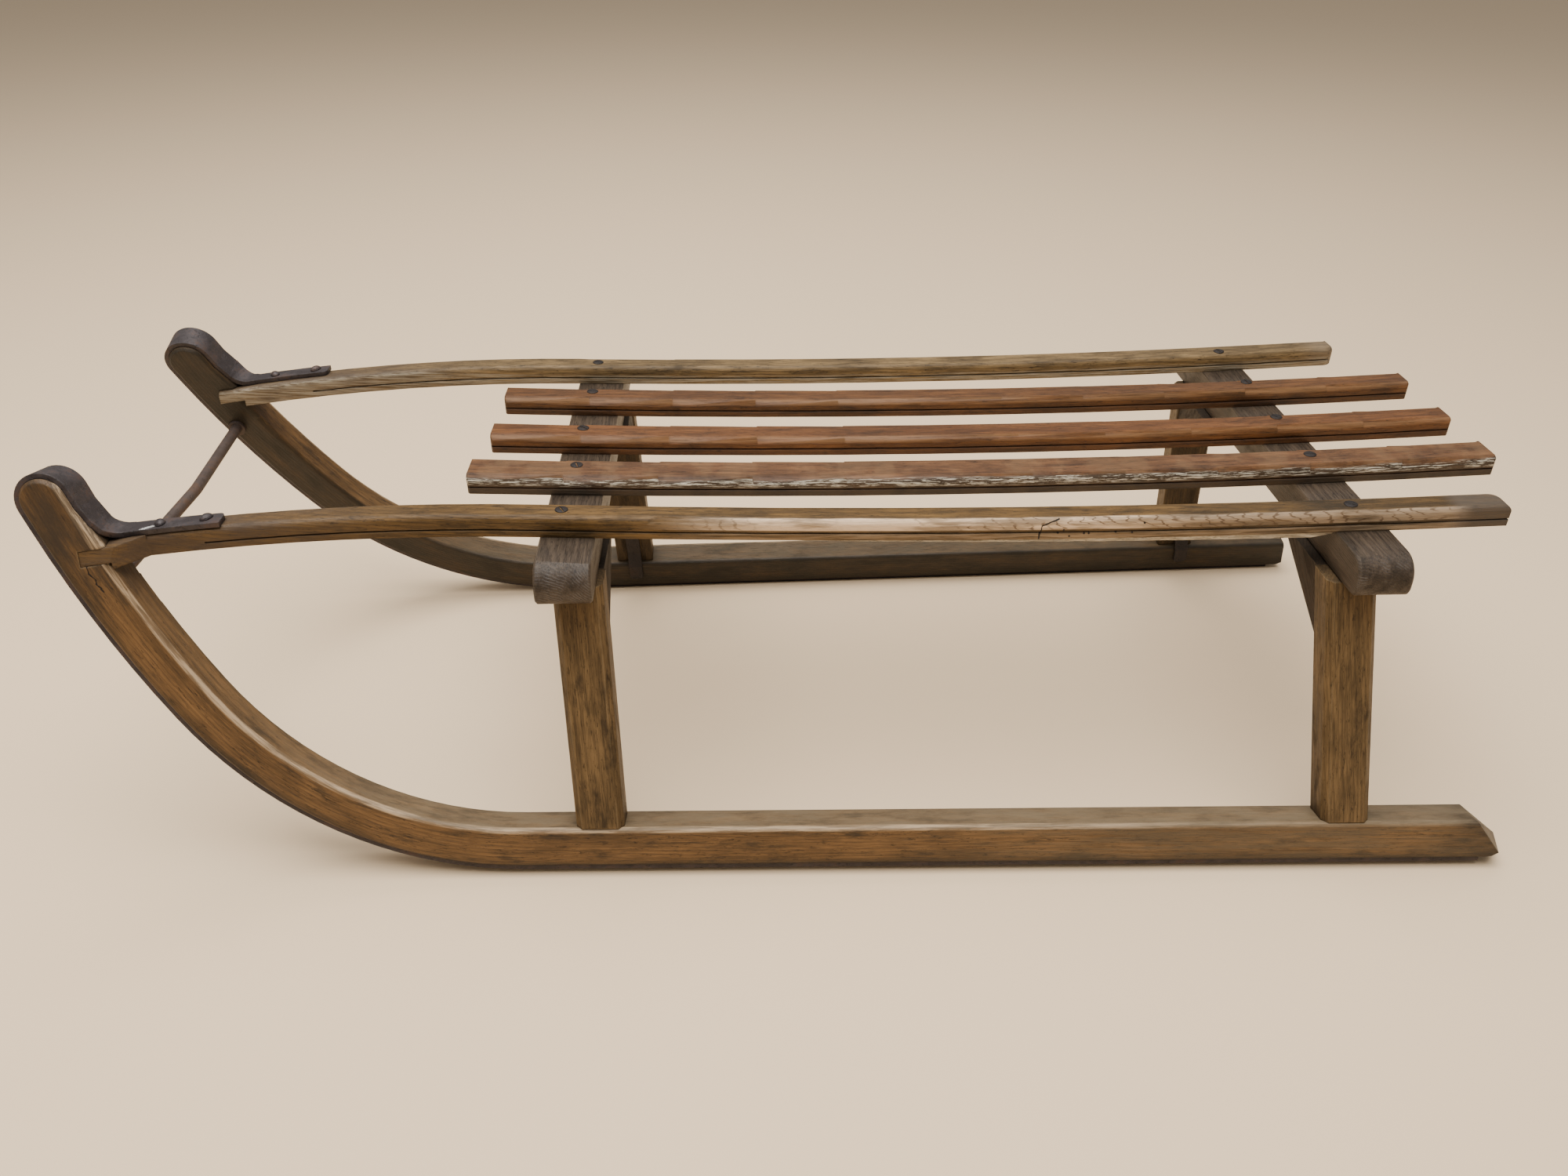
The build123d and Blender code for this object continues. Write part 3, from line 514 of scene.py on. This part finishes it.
# Name, grain seed, middle, width, then the pale, dark and worn tones; on the middle and right slats the
# worn tone also paints a highlight along the arris.
slats = (
    ("left", 8, -70.0, 33.0, (0.15, 0.066, 0.025), (0.048, 0.02, 0.009), (0.3, 0.22, 0.14)),
    ("middle", 9, -2.0, 28.0, (0.15, 0.058, 0.017), (0.057, 0.021, 0.007), (0.27, 0.14, 0.06)),
    ("right", 11, 72.0, 27.0, (0.13, 0.053, 0.016), (0.05, 0.02, 0.007), (0.27, 0.14, 0.06)),
)
for name, seed, middle, wide, pale, dark, worn in slats:
    finish, tree = new_finish("slat_varnish_" + name)
    place = measured(tree)
    x, height = above_seat(tree, place)
    across = reach(tree, place, (0, 1, 0), (0, middle, 0))
    grain = join_axes(tree, x, across, height)
    timber(tree, grain, pale, dark, slat_grime_and_shade, worn, seed=seed, pith=(18 + seed, -60), tilt=(0.01, 0.015),
           pitch=3.2, grime_and_shade=0.55, rub=0.0, rings=0.4, gloss=0.46, varnish=0.16, low=0.015)
    if name != "left":
        # A pale band along the upper arris: wear with a painted highlight.
        from_middle = reckon(tree, "ABSOLUTE", across)
        rubbed = ease(tree, clouds(tree, grain, (0.012, 0.25, 0.25), 5.0, 0.65), 0.36, 0.6, 0.1, 0.62)
        arris = times(tree, ease(tree, from_middle, wide / 2 - 5.5, wide / 2 - 3.0),
                      ease(tree, height, 9.5, 12.0), rubbed)
        lay_over(tree, arris, worn)
    lip = ease(tree, height, quirk_height + 0.5, quirk_height - 0.5)
    lay_over(tree, times(tree, lip, 0.35), slat_grime_and_shade)
    if name == "left":
        figure = ease(tree, clouds(tree, grain, (0.05, 0.035, 0.035), 3.0), 0.42, 0.62)
        lay_over(tree, times(tree, figure, 0.2), slat_figure)
        outer = ease(tree, across, -wide / 2 + 3.0, -wide / 2 + 1.0)
        lay_over(tree, times(tree, outer, lip, 0.75), slat_lip)
        shoulder = times(tree, outer, ease(tree, height, 5.5, 7.0))
        flakes = ease(tree, clouds(tree, grain, (0.06, 0.9, 0.9), 5.0, 0.78), 0.515, 0.555)
        lay_over(tree, times(tree, shoulder, 0.72), slat_shoulder)
        lay_over(tree, times(tree, shoulder, flakes, ease(tree, height, 6.5, 9.0), 0.95), slat_primer)
    dress("slat_" + name, finish)

# Rope bar.
# A bent iron rod with a collar, let into a socket in each horn, dull and rusty.
# The tow rope was tied to it.
rope_bar_rust = (0.11, 0.07, 0.045)
finish, tree = forged("rope_bar_iron", rust=0.9, gloss=0.62)[:2]
lay_over(tree, 0.35, rope_bar_rust)
dress("rope_bar", finish)

# Rivets.
# Two forged round-head iron rivets hold each strap end down on its rail. Their
# crowns are hammered a little flat.
rail_break, rail_bow = -192.0, 1 / 1800.0
rivet_radius, rivet_flat_from, rivet_sunk = 0.0044, 0.0029, 0.1
rivet_spots = (("left_1", -463.0, -137.0), ("left_2", -429.5, -136.8), ("right_1", -466.0, 136.6),
               ("right_2", -429.5, 138.2))


def rail_height(x):
    # Underside of the rail, which falls away ahead of the front bolster.
    start = seat_low + (max(x, rail_break) - seat_mid) ** 2 / (2 * seat_radius)
    run = min(x - rail_break, 0)
    return start + (rail_break - seat_mid) / seat_radius * run - run**2 * rail_bow / 2


def rail_slope(x):
    if x >= rail_break:
        return (x - seat_mid) / seat_radius
    return (rail_break - seat_mid) / seat_radius - (x - rail_break) * rail_bow


def set_head(model, name, x, y, lift, spin):
    # A copy of the head, set over the rail's underside line and turned to its slope.
    head = model.copy()
    head.data = model.data.copy()
    head.name = name
    bpy.context.scene.collection.objects.link(head)
    shift = Matrix.Translation(Vector((x, y, rail_height(x) + lift)) / 1000)
    head.data.transform(shift @ Matrix.Rotation(-rail_slope(x), 4, "Y") @ Matrix.Rotation(spin, 4, "Z"))
    head.data.update()
    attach(head, "root")


bpy.ops.object.select_all(action="DESELECT")
bpy.ops.mesh.primitive_uv_sphere_add(segments=20, ring_count=12, radius=rivet_radius)
rivet = bpy.context.object
rivet.name = "rivet_model"
bpy.ops.object.mode_set(mode="EDIT")
bpy.ops.mesh.select_all(action="SELECT")
bpy.ops.mesh.bisect(plane_co=(0, 0, 0), plane_no=(0, 0, 1), clear_inner=True, use_fill=True)
bpy.ops.mesh.select_all(action="SELECT")
bpy.ops.transform.resize(value=(1, 1, 0.95), center_override=(0, 0, 0))
bpy.ops.object.mode_set(mode="OBJECT")
for face in rivet.data.polygons:
    face.select = face.center.z > rivet_flat_from
bpy.ops.object.mode_set(mode="EDIT")
bpy.ops.transform.resize(value=(1.15, 0.9, 0.82), center_override=(0.0003, 0, 0.0004))
bpy.ops.object.mode_set(mode="OBJECT")
bpy.ops.object.shade_smooth_by_angle(angle=radians(40))
rivet.data.materials.append(forged("rivet_iron", rust=0.7, gloss=0.45)[0])
# Each rivet is turned by another amount, which its place along the sled sets.
for name, x, y in rivet_spots:
    set_head(rivet, "rivet_" + name, x, y, rail_thick + iron_thick - rivet_sunk, spin=x)
bpy.data.objects.remove(rivet)

# Wood screws.
# A flat-head iron screw holds each rail and slat at each bolster. The heads
# lie almost flush, dark with rust and with dirt in their slots.
# Name, place along and across the sled, and the turn of the slot.
screw_spots = (
    ("rail_left_front", -176.0, -139.2, 0.5), ("rail_right_front", -174.6, 138.4, 1.2),
    ("slat_left_front", -173.0, -65.0, 0.3), ("slat_middle_front", -174.6, 1.5, 0.9),
    ("slat_right_front", -174.0, 76.0, 1.5), ("rail_left_rear", 396.7, -150.2, 0.8),
    ("rail_right_rear", 400.4, 146.5, 0.2), ("slat_left_rear", 401.0, -66.0, 1.3),
    ("slat_middle_rear", 400.8, 4.0, 0.6), ("slat_right_rear", 402.0, 77.5, 0.1),
)
head_radius, head_depth, head_rim, head_crown = 0.0048, 0.0016, 0.0005, 0.00035
slot_wide, slot_deep, head_sunk = 0.0012, 0.0007, 0.45
screw_dirt = (0.013, 0.008, 0.006)
bpy.ops.object.select_all(action="DESELECT")
bpy.ops.mesh.primitive_cylinder_add(vertices=28, radius=head_radius, depth=head_depth, location=(0, 0, 0))
screw = bpy.context.object
screw.name = "screw_model"
bpy.ops.object.mode_set(mode="EDIT")
bpy.ops.mesh.select_all(action="DESELECT")
bpy.ops.object.mode_set(mode="OBJECT")
for face in screw.data.polygons:
    face.select = face.normal.z > 0.9
bpy.ops.object.mode_set(mode="EDIT")
bpy.ops.mesh.inset(thickness=head_rim, depth=head_crown)
for slot_side in (slot_wide / 2, -slot_wide / 2):
    bpy.ops.mesh.select_all(action="SELECT")
    bpy.ops.mesh.bisect(plane_co=(slot_side, 0, 0), plane_no=(1, 0, 0))
bpy.ops.mesh.select_all(action="DESELECT")
bpy.ops.object.mode_set(mode="OBJECT")
for face in screw.data.polygons:
    face.select = face.normal.z > 0.9 and abs(face.center.x) < slot_wide / 2
bpy.ops.object.mode_set(mode="EDIT")
bpy.ops.mesh.extrude_region_move(TRANSFORM_OT_translate={"value": (0, 0, -slot_deep)})
bpy.ops.object.mode_set(mode="OBJECT")
bpy.ops.object.shade_smooth_by_angle(angle=radians(35))
finish, tree = forged("screw_iron", rust=0.8, gloss=0.55)[:2]
lay_over(tree, 0.88, screw_dirt)
screw.data.materials.append(finish)
for name, x, y, spin in screw_spots:
    lift = (rail_thick if name.startswith("rail") else slat_thick) - head_sunk
    set_head(screw, "screw_" + name, x, y, lift, spin)
bpy.data.objects.remove(screw)

# Split under the left rail.
# A long thin splinter of bleached ash has come away from the rail's underside
# and still hangs on it, from mid length back to the rear bolster.
split_from, split_to, split_wide = 0.012, 0.384, 0.012
split_thin, split_thick, split_gap = 0.0011, 0.0046, 0.00005
split_inset, split_cuts, rail_half_width = 0.0015, 23, 0.01125
split_pale = (0.62, 0.54, 0.42)
split_dark = (0.36, 0.29, 0.2)
split_dirt_and_shade = (0.14, 0.11, 0.075)
split_worn = (0.7, 0.62, 0.5)


def rail_line(x):
    # The near rail's centre line at a place along it.
    return -(rail_spread / 1000 + x * sin(rail_toe) / cos(rail_toe))


bpy.ops.object.select_all(action="DESELECT")
bpy.ops.mesh.primitive_cube_add(size=1, location=((split_from + split_to) / 2, 0, 0))
split = bpy.context.object
split.name = "rail_split_left"
bpy.ops.object.mode_set(mode="EDIT")
bpy.ops.mesh.select_all(action="SELECT")
bpy.ops.transform.resize(value=(split_to - split_from, split_wide, 1),
                         center_override=tuple(split.location))
bpy.ops.mesh.select_all(action="DESELECT")
bpy.ops.object.mode_set(mode="OBJECT")
for edge in split.data.edges:
    ends = [split.data.vertices[n].co for n in edge.vertices]
    edge.select = abs(ends[0].x - ends[1].x) > 0.1
bpy.ops.object.mode_set(mode="EDIT")
bpy.ops.mesh.subdivide(number_cuts=split_cuts)
bpy.ops.object.mode_set(mode="OBJECT")
bpy.ops.object.transform_apply(location=True, rotation=False, scale=False)
for point in split.data.vertices:
    x = point.co.x
    part = (x - split_from) / (split_to - split_from)
    thick = split_thin + (split_thick - split_thin) * part**0.8
    ragged = 0.0006 * sin(x * 610) + 0.0004 * sin(x * 1430 + 1)
    narrow = 0.35 if part > 0.985 else 0.6 if part < 0.02 else 1.0
    below = thick * narrow + ragged * 0.4 if point.co.z < 0 else 0
    inward = split_inset + ragged + (split_wide * narrow if point.co.y > 0 else 0)
    top = rail_height(x * 1000) / 1000 - split_gap
    point.co = (x, rail_line(x) - rail_half_width + inward, top - below)
split.data.update()
bpy.context.view_layer.objects.active = split
split.select_set(True)
trim = split.modifiers.new("soft_arris", "BEVEL")
trim.width = 0.0004
trim.segments = 2
bpy.ops.object.modifier_apply(modifier=trim.name)
bpy.ops.object.shade_smooth_by_angle(angle=radians(35))
finish, tree = new_finish("split_ash")
timber(tree, measured(tree), split_pale, split_dark, split_dirt_and_shade, split_worn, seed=13, grime_and_shade=0.3, gloss=0.7,
       low=0.002)
split.data.materials.append(finish)
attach(split, "root")

# Floor and light.
# A plain pale floor with no pattern, and the soft light of an overcast yard.
bpy.ops.object.select_all(action="DESELECT")
bpy.ops.mesh.primitive_plane_add(size=9, location=(0, 1.5, 0))
floor = bpy.context.object
floor.name = "studio_floor"
floor_paint, tree = new_finish("floor_paint")
tree.nodes["Principled BSDF"].inputs["Base Color"].default_value = (0.9, 0.68, 0.44, 1)
tree.nodes["Principled BSDF"].inputs["Roughness"].default_value = 0.75
floor.data.materials.append(floor_paint)

world = bpy.context.scene.world or bpy.data.worlds.new("studio")
bpy.context.scene.world = world
world.use_nodes = True
world.node_tree.nodes["Background"].inputs["Color"].default_value = (1.0, 0.98, 0.95, 1)
world.node_tree.nodes["Background"].inputs["Strength"].default_value = 0.3


def soft_panel(name, place, aim, size, power, tint):
    panel = bpy.data.lights.new(name, "AREA")
    panel.shape = "RECTANGLE"
    panel.size, panel.size_y = size
    panel.energy = power
    panel.color = tint
    holder = bpy.data.objects.new(name, panel)
    bpy.context.scene.collection.objects.link(holder)
    holder.location = place
    holder.rotation_euler = (Vector(aim) - Vector(place)).to_track_quat("-Z", "Y").to_euler()


soft_panel("sky_panel", (-0.3, -0.25, 2.6), (0, 0, 0), (3.0, 2.2), 140, (1.0, 0.98, 0.95))
soft_panel("back_panel", (0.6, 1.8, 2.4), (0.1, 0, 0.15), (2.4, 1.6), 12, (1.0, 0.98, 0.96))

# Camera.
# It stands beside the left runner and looks down at the seat, as the
# photograph does.
eye = Vector((-0.0456, -0.9171, 0.7063))
look_down, look_side, look_roll = 0.5678, 0.0386, 0.0018
ahead = Vector((sin(look_side), cos(look_side), 0))
level = Vector((cos(look_side), -sin(look_side), 0))
gaze = ahead * cos(look_down) - Vector((0, 0, sin(look_down)))
crown = ahead * sin(look_down) + Vector((0, 0, cos(look_down)))
right_hand = level * cos(look_roll) + crown * sin(look_roll)
head_up = crown * cos(look_roll) - level * sin(look_roll)
lens = bpy.data.cameras.new("photo_camera")
lens.sensor_width = 36
lens.lens = 28.08
camera = bpy.data.objects.new("photo_camera", lens)
bpy.context.scene.collection.objects.link(camera)
camera.matrix_world = Matrix((
    (right_hand.x, head_up.x, -gaze.x, eye.x),
    (right_hand.y, head_up.y, -gaze.y, eye.y),
    (right_hand.z, head_up.z, -gaze.z, eye.z),
    (0, 0, 0, 1)))
bpy.context.scene.camera = camera
